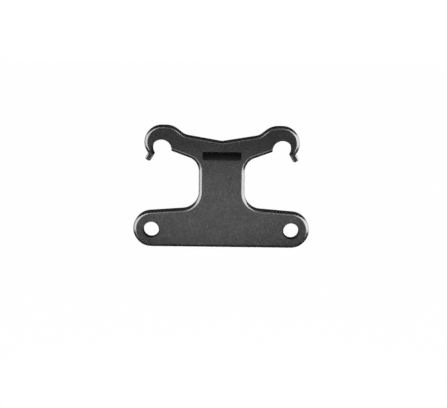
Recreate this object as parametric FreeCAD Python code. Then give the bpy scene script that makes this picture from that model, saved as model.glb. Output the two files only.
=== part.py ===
"""Saddle rail bracket: a moulded plate that hangs a rear lamp from a saddle's two rails.

One plastic moulding. A flat plate stands across the rails: a bar with two lamp holes below, a neck, and
two wings above. Each wing ends in an ear over its rail, with a snap clip that opens downwards.

Frame, in millimetres: the origin is midway between the lamp holes on the face that the lamp seats on.
+X runs to the right hand as seen from behind the bicycle, +Y forwards along the rails, +Z up.
"""

import FreeCAD, Part
import math
import os

# Plate
plate_thickness = 4.0
front_edge_radius = 1.1
back_edge_chamfer = 0.25

# Lamp bar
lamp_hole_spacing = 50.0
lamp_hole_diameter = 5.5
lamp_hole_edge = 0.25
bar_end_wall = 3.7
lamp_hole_drop = 0.25
bar_top_slope = math.radians(4.4)

# Neck
neck_width = 16.3
neck_foot_radius = 6.0
neck_head_radius = 5.2

# Saddle rails, and where they lie above the lamp holes
rail_diameter = 7.0
rail_spacing = 43.0
rail_height = 28.65

# Wings
wing_underside_slope = math.radians(20.0)
crown_wall = 5.15
dip_depth = 5.6
dip_slope = math.radians(9.5)
ramp_slope = math.radians(38.0)
ramp_top_setback = 3.9
ramp_foot_radius = 5.0
ramp_top_radius = 7.0

# Snap clips
rail_clearance = 0.05
clip_length = 12.0
arm_wall = 1.95
inner_wrap = math.radians(8.0)
outer_wrap = math.radians(36.0)
lip_slope = math.radians(61.5)
lip_length = 2.5
lip_width = 2.15
lip_corner_radius = 0.75
lip_edge_radius = 0.45

# Plain polished panel at the head of the neck
panel_length = 13.8
panel_height = 3.0
panel_corner_radius = 0.6
panel_depth = 0.3
panel_drop = 5.2

# What follows from the sizes above
bar_end_radius = lamp_hole_diameter / 2 + bar_end_wall
clip_bore_radius = rail_diameter / 2 + rail_clearance
rail_x = rail_spacing / 2

# The ear is round: its circle leaves the crown's wall over the rail and the arm's wall beside it
ear_rise = clip_bore_radius + crown_wall
ear_reach = clip_bore_radius + arm_wall
ear_radius = (ear_rise + ear_reach ** 2 / ear_rise) / 2
wing_top = rail_height + ear_rise
ear_centre_height = wing_top - ear_radius
dip_height = wing_top - dip_depth
panel_centre_height = dip_height - panel_drop

FORWARDS = FreeCAD.Vector(0, 1, 0)
SIDEWAYS = FreeCAD.Vector(1, 0, 0)
TINY = 1e-6


def point(x, z, y=0.0):
    return FreeCAD.Vector(x, y, z)


def along(start, angle, distance):
    """The point at a distance from start, with the angle measured up from +X."""
    return start + point(math.cos(angle), math.sin(angle)) * distance


def crossing(a, a_angle, b, b_angle):
    """The point where the line through a meets the line through b."""
    dx, dz = b.x - a.x, b.z - a.z
    turn = math.sin(b_angle - a_angle)
    reach = (dx * math.sin(b_angle) - dz * math.cos(b_angle)) / turn
    return along(a, a_angle, reach)


def mirrored(shape):
    """The same shape on the other side of the bracket's middle."""
    return shape.mirror(point(0, 0), SIDEWAYS)


def line(a, b):
    return Part.LineSegment(a, b).toShape()


def arc(a, middle, b):
    return Part.Arc(a, middle, b).toShape()


def rounded_chain(corners):
    """Straight edges through the corners, each a point and the radius that rounds it."""
    edges = []
    start = corners[0][0]
    for index in range(1, len(corners) - 1):
        corner, radius = corners[index]
        back = (corners[index - 1][0] - corner).normalize()
        ahead = (corners[index + 1][0] - corner).normalize()
        half = back.getAngle(ahead) / 2
        if radius:
            setback = radius / math.tan(half)
            entry = corner + back * setback
            leave = corner + ahead * setback
            bisector = (back + ahead).normalize()
            middle = corner + bisector * (radius / math.sin(half) - radius)
            edges += [line(start, entry), arc(entry, middle, leave)]
            start = leave
        else:
            edges.append(line(start, corner))
            start = corner
    edges.append(line(start, corners[-1][0]))
    return edges


def bar_edges():
    """The bar's underside and its round end, whose centre lies a little above the lamp hole."""
    centre = point(lamp_hole_spacing / 2, lamp_hole_drop)
    bottom = along(centre, -math.pi / 2, bar_end_radius)
    top = along(centre, math.pi / 2 - bar_top_slope, bar_end_radius)
    end = along(centre, -bar_top_slope / 2, bar_end_radius)
    return [line(point(0, bottom.z), bottom), arc(bottom, end, top)], top


def clip_points():
    """Where the clip's bore starts on the inner wall and ends at the outer arm's throat."""
    rail = point(rail_x, rail_height)
    inner = along(rail, math.pi + inner_wrap, clip_bore_radius)
    throat = along(rail, -outer_wrap, clip_bore_radius)
    crown = along(rail, math.pi / 2, clip_bore_radius)
    return inner, crown, throat


def neck_edges(bar_top, inner):
    """From the bar's sloping top up the neck's side and out along the wing's underside."""
    side = point(neck_width / 2, 0)
    foot = crossing(bar_top, math.pi - bar_top_slope, side, math.pi / 2)
    head = crossing(inner, math.pi + wing_underside_slope, side, math.pi / 2)
    return rounded_chain([(bar_top, 0), (foot, neck_foot_radius), (head, neck_head_radius), (inner, 0)])


def lip_edges(throat):
    """The flared lip below the throat, back up to the notch on the ear's round outside."""
    inner_end = along(throat, -lip_slope, lip_length)
    outer_end = along(inner_end, math.pi / 2 - lip_slope, lip_width)
    ear = point(rail_x, ear_centre_height)
    upward = point(-math.cos(lip_slope), math.sin(lip_slope))
    offset = outer_end - ear
    along_lip = offset.dot(upward)
    inside = offset.dot(offset) - ear_radius ** 2
    notch = outer_end + upward * (-along_lip - math.sqrt(along_lip ** 2 - inside))
    rounding = min(lip_corner_radius, 0.45 * lip_width)
    return rounded_chain([(throat, 0), (inner_end, rounding), (outer_end, rounding), (notch, 0)]), notch


def ear_edges(notch):
    """The ear's round outside, from the notch up to its top."""
    ear = point(rail_x, ear_centre_height)
    top = along(ear, math.pi / 2, ear_radius)
    notch_angle = math.atan2(notch.z - ear.z, notch.x - ear.x)
    middle = along(ear, (notch_angle + math.pi / 2) / 2, ear_radius)
    return [arc(notch, middle, top)], top


def wing_top_edges(ear_top):
    """The wing's top: flat beside the ear, down a ramp, and on to the dip at the middle."""
    dip = point(0, dip_height)
    ramp_top = point(rail_x - ramp_top_setback, wing_top)
    ramp_foot = crossing(ramp_top, math.pi + ramp_slope, dip, dip_slope)
    corners = [(ear_top, 0), (ramp_top, ramp_top_radius), (ramp_foot, ramp_foot_radius), (dip, 0)]
    return rounded_chain(corners)


def plate_face():
    """The plate's whole outline, with both clips, as a face on the lamp side."""
    bar, bar_top = bar_edges()
    inner, crown, throat = clip_points()
    lip, notch = lip_edges(throat)
    ear, ear_top = ear_edges(notch)
    right = bar + neck_edges(bar_top, inner) + [arc(inner, crown, throat)]
    right += lip + ear + wing_top_edges(ear_top)
    left = [mirrored(edge) for edge in right]
    return Part.Face(Part.Wire(Part.__sortEdges__(right + left)))


def is_lip_edge(edge):
    """True for an edge of a flared lip, which hangs below the clip's throat."""
    centre = edge.CenterOfMass
    notch = lip_edges(clip_points()[2])[1]
    return abs(centre.x) > rail_x and 0 < centre.z < notch.z


def is_bore_edge(edge):
    """True for the arc of a clip's bore, which stays sharp so that the rail is held over its whole length."""
    curve = edge.Curve
    if not isinstance(curve, Part.Circle):
        return False
    return abs(curve.Radius - clip_bore_radius) < TINY and abs(abs(curve.Center.x) - rail_x) < TINY


def edges_at(solid, y):
    """The edges that lie wholly in the plane at y, apart from the clips' bores."""
    flat = [edge for edge in solid.Edges if edge.BoundBox.YLength < TINY and abs(edge.BoundBox.YMin - y) < TINY]
    return [edge for edge in flat if not is_bore_edge(edge)]


def plate():
    """The plate, well rounded towards the lamp and just broken behind, with finer edges on its thin lips."""
    blank = plate_face().extrude(FORWARDS * plate_thickness)
    front = edges_at(blank, 0)
    body = blank.makeFillet(front_edge_radius, [edge for edge in front if not is_lip_edge(edge)])
    lips = blank.makeFillet(lip_edge_radius, [edge for edge in front if is_lip_edge(edge)])
    back = blank.makeChamfer(back_edge_chamfer, edges_at(blank, plate_thickness))
    return body.common(lips).common(back)


def clip_channel():
    """The right clip carried on behind the plate: the same arm and lip, with an even wall over the rail."""
    start = point(0, 0, front_edge_radius)
    length = clip_length - front_edge_radius
    rail = point(rail_x, rail_height) + start
    blank = plate_face().translated(start).extrude(FORWARDS * length)
    wall = Part.makeCylinder(ear_reach, length, rail, FORWARDS)
    reach = ear_reach + lip_length
    arm = Part.makeBox(reach, length, reach, rail - point(0, reach))
    channel = blank.common(wall.fuse(arm)).removeSplitter()
    return channel.makeChamfer(back_edge_chamfer, edges_at(channel, clip_length))


def lamp_hole(side):
    """The drill for one lamp hole, flared a little where it breaks the lamp side."""
    centre = point(side * lamp_hole_spacing / 2, 0)
    radius = lamp_hole_diameter / 2
    drill = Part.makeCylinder(radius, plate_thickness, centre, FORWARDS)
    flare = Part.makeCone(radius + lamp_hole_edge, radius, lamp_hole_edge, centre, FORWARDS)
    return drill.fuse(flare)


def panel_recess():
    """The shallow pocket of the polished panel at the head of the neck."""
    corner = point(-panel_length / 2, panel_centre_height - panel_height / 2)
    pocket = Part.makeBox(panel_length, panel_depth, panel_height, corner)
    upright = [edge for edge in pocket.Edges if edge.BoundBox.YLength > panel_depth / 2]
    return pocket.makeFillet(panel_corner_radius, upright)


def bracket():
    """The whole moulding."""
    channel = clip_channel()
    solid = plate().fuse([channel, mirrored(channel)])
    solid = solid.cut([lamp_hole(-1), lamp_hole(1), panel_recess()])
    return solid.removeSplitter()


os.makedirs("parts", exist_ok=True)
moulding = bracket()
moulding.exportStep("parts/bracket.step")
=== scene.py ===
"""Looks of the saddle rail bracket: its moulded plastic, plain studio light, and the camera.

Lengths are in metres and in the part's own frame: +X to the right, +Y away from the camera, +Z up,
with the origin midway between the two lamp holes on the plate's front face.
"""

import math

import bpy
from mathutils import Matrix, Vector


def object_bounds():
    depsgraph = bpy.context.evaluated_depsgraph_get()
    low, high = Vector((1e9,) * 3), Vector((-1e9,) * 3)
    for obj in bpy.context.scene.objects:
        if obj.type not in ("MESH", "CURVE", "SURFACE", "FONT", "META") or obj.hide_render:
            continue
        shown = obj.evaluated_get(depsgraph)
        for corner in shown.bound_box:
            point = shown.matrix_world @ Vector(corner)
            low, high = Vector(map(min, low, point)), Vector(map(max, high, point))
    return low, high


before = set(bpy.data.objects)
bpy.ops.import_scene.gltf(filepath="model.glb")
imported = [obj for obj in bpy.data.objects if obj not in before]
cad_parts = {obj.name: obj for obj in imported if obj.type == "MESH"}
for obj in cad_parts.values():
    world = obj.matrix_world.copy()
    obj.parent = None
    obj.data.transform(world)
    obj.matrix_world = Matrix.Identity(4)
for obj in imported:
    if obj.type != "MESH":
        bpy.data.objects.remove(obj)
cad_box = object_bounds()

MM = 0.001

# The photograph's frame and the camera that fits it
PHOTO_WIDTH = 447
SENSOR_WIDTH = 36.0
FOCAL_PIXELS = 1273.0
CAMERA_PLACE = Vector((0.76 * MM, -450.0 * MM, 67.2 * MM))
CAMERA_PITCH = math.radians(7.306)
CAMERA_ROLL = math.radians(0.7)
VIEW_START = 10.0 * MM
VIEW_END = 20.0

# The polished panel at the head of the neck, as the plate has it
PANEL_CENTRE = Vector((0.0, 0.3 * MM, 26.55 * MM))
PANEL_HALF_LENGTH = 6.9 * MM
PANEL_HALF_HEIGHT = 1.5 * MM
PANEL_FLOOR_TOLERANCE = 0.03 * MM

# The lamp holes: how far they are from the middle, and a circle round each that takes in its flared rim
LAMP_HOLE_REACH = 25.0 * MM
LAMP_HOLE_RIM = 3.1 * MM

# The finishes, numbered as the bracket's material slots
FACE, EDGE, WALL, PANEL = range(4)

# The Y share of a facet's normal: a wall has less than the first, a flat face at least the second,
# and a rounded or broken edge lies between
WALL_FACING = 0.01
FACE_FACING = 0.999

# The moulded finishes: name, gleam, sway of the gleam, roughness and share of the grain's relief.
# Walls don't gleam, because at a grazing angle a bright lamp would turn them white.
MOULDED_FINISHES = (
    ("plastic_face", 0.20, 0.08, 0.21, 1.0),
    ("plastic_edge", 1.0, 0.0, 0.21, 0.1),
    ("plastic_wall", 0.0, 0.0, 0.30, 0.1),
)

# The plastic's greys, and the sizes and depths of its grain, of the mottle in it and of broad clouds
DARK_GREY = 0.023
LIGHT_GREY = 0.042
GRAIN_SIZE = 0.28 * MM
GRAIN_DEPTH = 0.004 * MM
MOTTLE_SIZE = 0.9 * MM
MOTTLE_DEPTH = 0.018 * MM
CLOUD_SIZE = 4.0 * MM

# What each of the three adds to the tone, and the part of the sum that spans both greys
GRAIN_SHARE = 0.3
MOTTLE_SHARE = 0.5
CLOUD_SHARE = 0.2
TONE_LOW = 0.36
TONE_HIGH = 0.64

# How far the mottle sways the roughness, and the part of the mottle that spans it
ROUGHNESS_SWAY = 0.03
MOTTLE_LOW = 0.35
MOTTLE_HIGH = 0.65

# The polished finish. Its grey is partly painted shade: far darker than the plastic's own greys, for the dark
# that a polished surface mirrors
PANEL_PAINTED_SHADE_GREY = 0.004
PANEL_GLEAM = 0.12
PANEL_ROUGHNESS = 0.08

# Floor and light
FLOOR_DROP = 250.0 * MM
FLOOR_SIZE = 60.0
FLOOR_GREY = 0.04
FLOOR_GLOW = 0.99
AMBIENT = 0.05
LIGHT_TARGET = Vector((0.0, 0.0, 15.0 * MM))


class Shader:
    """A material's node tree, with short calls for the nodes that the looks need."""

    def __init__(self, name):
        self.material = bpy.data.materials.new(name)
        self.material.use_nodes = True
        self.tree = self.material.node_tree
        self.tree.nodes.clear()

    def node(self, kind, **settings):
        made = self.tree.nodes.new(kind)
        for key, value in settings.items():
            setattr(made, key, value)
        return made

    def link(self, source, target):
        self.tree.links.new(source, target)

    def feed(self, target, value):
        """Sets a socket to a number or colour, or links another socket to it."""
        if isinstance(value, bpy.types.NodeSocket):
            self.link(value, target)
        else:
            target.default_value = value

    def math(self, operation, first, second):
        made = self.node("ShaderNodeMath", operation=operation)
        self.feed(made.inputs[0], first)
        self.feed(made.inputs[1], second)
        return made.outputs[0]

    def place(self):
        """A point's own coordinates on the object, in metres."""
        return self.node("ShaderNodeTexCoord").outputs["Object"]

    def noise(self, vector, size, detail, roughness):
        """Noise whose lumps are about size metres across, from 0 to 1."""
        made = self.node("ShaderNodeTexNoise")
        self.link(vector, made.inputs["Vector"])
        made.inputs["Scale"].default_value = 1.0 / size
        made.inputs["Detail"].default_value = detail
        made.inputs["Roughness"].default_value = roughness
        return made.outputs["Fac"]

    def spread(self, value, low, high, to_low, to_high):
        """Maps low to high onto to_low to to_high, and holds the ends."""
        made = self.node("ShaderNodeMapRange")
        for index, number in enumerate((value, low, high, to_low, to_high)):
            self.feed(made.inputs[index], number)
        return made.outputs[0]

    def blend(self, share, first, second):
        """A colour between two, by share."""
        made = self.node("ShaderNodeMix", data_type="RGBA")
        self.feed(made.inputs["Factor"], share)
        self.feed(made.inputs["A"], first)
        self.feed(made.inputs["B"], second)
        return made.outputs["Result"]

    def finished(self, surface):
        """The material, with a shader node as its surface."""
        output = self.node("ShaderNodeOutputMaterial")
        self.link(surface.outputs[0], output.inputs["Surface"])
        return self.material


def grey(level):
    return (level, level, level, 1.0)


def moulded_plastic(name, gleam, gleam_sway, roughness, relief_share):
    """Near-black plastic with a spark-eroded grain, in one of the moulded finishes.

    The gleam is the specular level, and the grain moves it up and down by its sway.
    """
    shader = Shader(name)
    place = shader.place()
    grain = shader.noise(place, GRAIN_SIZE, detail=3.0, roughness=0.65)
    mottle = shader.noise(place, MOTTLE_SIZE, detail=2.0, roughness=0.6)
    cloud = shader.noise(place, CLOUD_SIZE, detail=2.0, roughness=0.5)
    fine_tone = shader.math("MULTIPLY", grain, GRAIN_SHARE)
    coarse_tone = shader.math("MULTIPLY", mottle, MOTTLE_SHARE)
    broad_tone = shader.math("MULTIPLY", cloud, CLOUD_SHARE)
    tone = shader.math("ADD", shader.math("ADD", fine_tone, coarse_tone), broad_tone)
    tone = shader.spread(tone, TONE_LOW, TONE_HIGH, 0.0, 1.0)
    surface = shader.node("ShaderNodeBsdfPrincipled")
    shader.link(shader.blend(tone, grey(DARK_GREY), grey(LIGHT_GREY)), surface.inputs["Base Color"])
    if gleam_sway:
        speckle = shader.spread(tone, 0.0, 1.0, gleam - gleam_sway, gleam + gleam_sway)
        shader.link(speckle, surface.inputs["Specular IOR Level"])
    else:
        surface.inputs["Specular IOR Level"].default_value = gleam
    duller, glossier = roughness + ROUGHNESS_SWAY, roughness - ROUGHNESS_SWAY
    shader.link(shader.spread(mottle, MOTTLE_LOW, MOTTLE_HIGH, duller, glossier), surface.inputs["Roughness"])
    fine_relief = shader.math("MULTIPLY", grain, GRAIN_DEPTH * relief_share)
    coarse_relief = shader.math("MULTIPLY", mottle, MOTTLE_DEPTH * relief_share)
    bump = shader.node("ShaderNodeBump")
    bump.inputs["Distance"].default_value = 1.0
    shader.link(shader.math("ADD", fine_relief, coarse_relief), bump.inputs["Height"])
    shader.link(bump.outputs[0], surface.inputs["Normal"])
    return shader.finished(surface)


def polished_plastic(name):
    """The same plastic off a polished insert in the mould, with its grey darkened as painted shade."""
    shader = Shader(name)
    surface = shader.node("ShaderNodeBsdfPrincipled")
    # painted shade: a grey far darker than the plastic's own greys
    surface.inputs["Base Color"].default_value = grey(PANEL_PAINTED_SHADE_GREY)
    surface.inputs["Specular IOR Level"].default_value = PANEL_GLEAM
    surface.inputs["Roughness"].default_value = PANEL_ROUGHNESS
    return shader.finished(surface)


def floor_material():
    """Grey floor that glows for the camera alone, so that it looks white and keeps the object's shadow."""
    shader = Shader("floor_white")
    surface = shader.node("ShaderNodeBsdfDiffuse")
    surface.inputs["Color"].default_value = grey(FLOOR_GREY)
    glow = shader.node("ShaderNodeEmission")
    glow.inputs["Color"].default_value = grey(1.0)
    path = shader.node("ShaderNodeLightPath")
    shader.link(shader.math("MULTIPLY", path.outputs["Is Camera Ray"], FLOOR_GLOW), glow.inputs["Strength"])
    both = shader.node("ShaderNodeAddShader")
    shader.link(surface.outputs[0], both.inputs[0])
    shader.link(glow.outputs[0], both.inputs[1])
    return shader.finished(both)


def make_floor():
    low = cad_box[0].z - FLOOR_DROP
    half = FLOOR_SIZE / 2
    corners = [(-half, -half, low), (half, -half, low), (half, half, low), (-half, half, low)]
    mesh = bpy.data.meshes.new("floor")
    mesh.from_pydata(corners, [], [(0, 1, 2, 3)])
    mesh.materials.append(floor_material())
    floor = bpy.data.objects.new("floor", mesh)
    bpy.context.scene.collection.objects.link(floor)


def make_world():
    """White to the camera and a low even light to everything else."""
    world = bpy.data.worlds.new("studio")
    bpy.context.scene.world = world
    world.use_nodes = True
    nodes, links = world.node_tree.nodes, world.node_tree.links
    nodes.clear()
    path = nodes.new("ShaderNodeLightPath")
    level = nodes.new("ShaderNodeMapRange")
    level.inputs["To Min"].default_value = AMBIENT
    level.inputs["To Max"].default_value = 1.0
    links.new(path.outputs["Is Camera Ray"], level.inputs["Value"])
    light = nodes.new("ShaderNodeBackground")
    light.inputs["Color"].default_value = grey(1.0)
    links.new(level.outputs[0], light.inputs["Strength"])
    output = nodes.new("ShaderNodeOutputWorld")
    links.new(light.outputs[0], output.inputs["Surface"])


def soft_box(name, azimuth, elevation, distance, width, height, radiance):
    """A soft box that faces the part, from degrees to the right of the front and degrees up."""
    turn, rise = math.radians(azimuth), math.radians(elevation)
    towards = Vector((math.sin(turn) * math.cos(rise), -math.cos(turn) * math.cos(rise), math.sin(rise)))
    lamp = bpy.data.lights.new(name, "AREA")
    lamp.shape = "RECTANGLE"
    lamp.size = width
    lamp.size_y = height
    lamp.energy = radiance * math.pi * width * height
    light = bpy.data.objects.new(name, lamp)
    light.location = LIGHT_TARGET + towards * distance
    light.rotation_euler = towards.to_track_quat("Z", "Y").to_euler()
    light.visible_camera = False
    bpy.context.scene.collection.objects.link(light)
    return light


def reflection_card(name, azimuth, elevation, distance, width, height, radiance):
    """A bright panel that shows only as a gleam on the part."""
    soft_box(name, azimuth, elevation, distance, width, height, radiance).visible_diffuse = False


def even_fill(name, azimuth, elevation, distance, width, height, radiance):
    """A soft box that lights the part but leaves no gleam on it."""
    soft_box(name, azimuth, elevation, distance, width, height, radiance).visible_glossy = False


def make_lights():
    """The studio: each light's azimuth, elevation, distance, width, height and radiance."""
    even_fill("key", 0, -12, 0.16, 0.12, 0.08, 3.8)
    front = soft_box("front", 0, -10, 0.133, 0.09, 0.042, 3.3)
    front.data.shape = "ELLIPSE"
    reflection_card("brow", 0, 26, 0.50, 0.30, 0.10, 1.3)
    reflection_card("left_card", -46, 6, 0.50, 0.70, 0.38, 7.5)
    reflection_card("right_card", 48, 8, 0.50, 0.68, 0.38, 9.0)
    reflection_card("left_back", -104, 5, 0.50, 0.40, 0.36, 2.0)
    reflection_card("right_back", 104, 5, 0.50, 0.40, 0.36, 6.0)
    soft_box("back_low", 180, -25, 0.50, 0.50, 0.15, 5.0)
    even_fill("left_fill", -115, 10, 0.50, 0.40, 0.40, 6.0)
    even_fill("right_fill", 115, 10, 0.50, 0.40, 0.40, 6.0)
    even_fill("back_key", 215, 8, 0.50, 0.14, 0.14, 40.0)


def make_camera():
    data = bpy.data.cameras.new("camera")
    data.sensor_width = SENSOR_WIDTH
    data.lens = FOCAL_PIXELS * SENSOR_WIDTH / PHOTO_WIDTH
    data.clip_start = VIEW_START
    data.clip_end = VIEW_END
    camera = bpy.data.objects.new("camera", data)
    tilt = Matrix.Rotation(math.pi / 2 - CAMERA_PITCH, 4, "X")
    roll = Matrix.Rotation(CAMERA_ROLL, 4, "Z")
    camera.matrix_world = Matrix.Translation(CAMERA_PLACE) @ tilt @ roll
    bpy.context.scene.collection.objects.link(camera)
    bpy.context.scene.camera = camera


def on_hole_rim(place):
    """True for a place on a lamp hole's flared rim, which is as dull as the hole's wall."""
    return math.hypot(abs(place.x) - LAMP_HOLE_REACH, place.z) < LAMP_HOLE_RIM


def on_panel(place):
    """True for a place on the floor of the polished panel."""
    offset = place - PANEL_CENTRE
    inside = abs(offset.x) < PANEL_HALF_LENGTH and abs(offset.z) < PANEL_HALF_HEIGHT
    return inside and abs(offset.y) < PANEL_FLOOR_TOLERANCE


def finish_of(facet):
    """The number of the finish that one of the plate's facets has."""
    facing = abs(facet.normal.y)
    if facing < WALL_FACING:
        return WALL
    if facing < FACE_FACING:
        return WALL if on_hole_rim(facet.center) else EDGE
    return PANEL if on_panel(facet.center) else FACE


def dress_bracket():
    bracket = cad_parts["bracket"]
    materials = bracket.data.materials
    materials.clear()
    for finish in MOULDED_FINISHES:
        materials.append(moulded_plastic(*finish))
    materials.append(polished_plastic("plastic_panel"))
    for facet in bracket.data.polygons:
        facet.material_index = finish_of(facet)


bpy.context.scene.view_settings.view_transform = "Standard"
make_camera()
make_world()
make_floor()
make_lights()
dress_bracket()
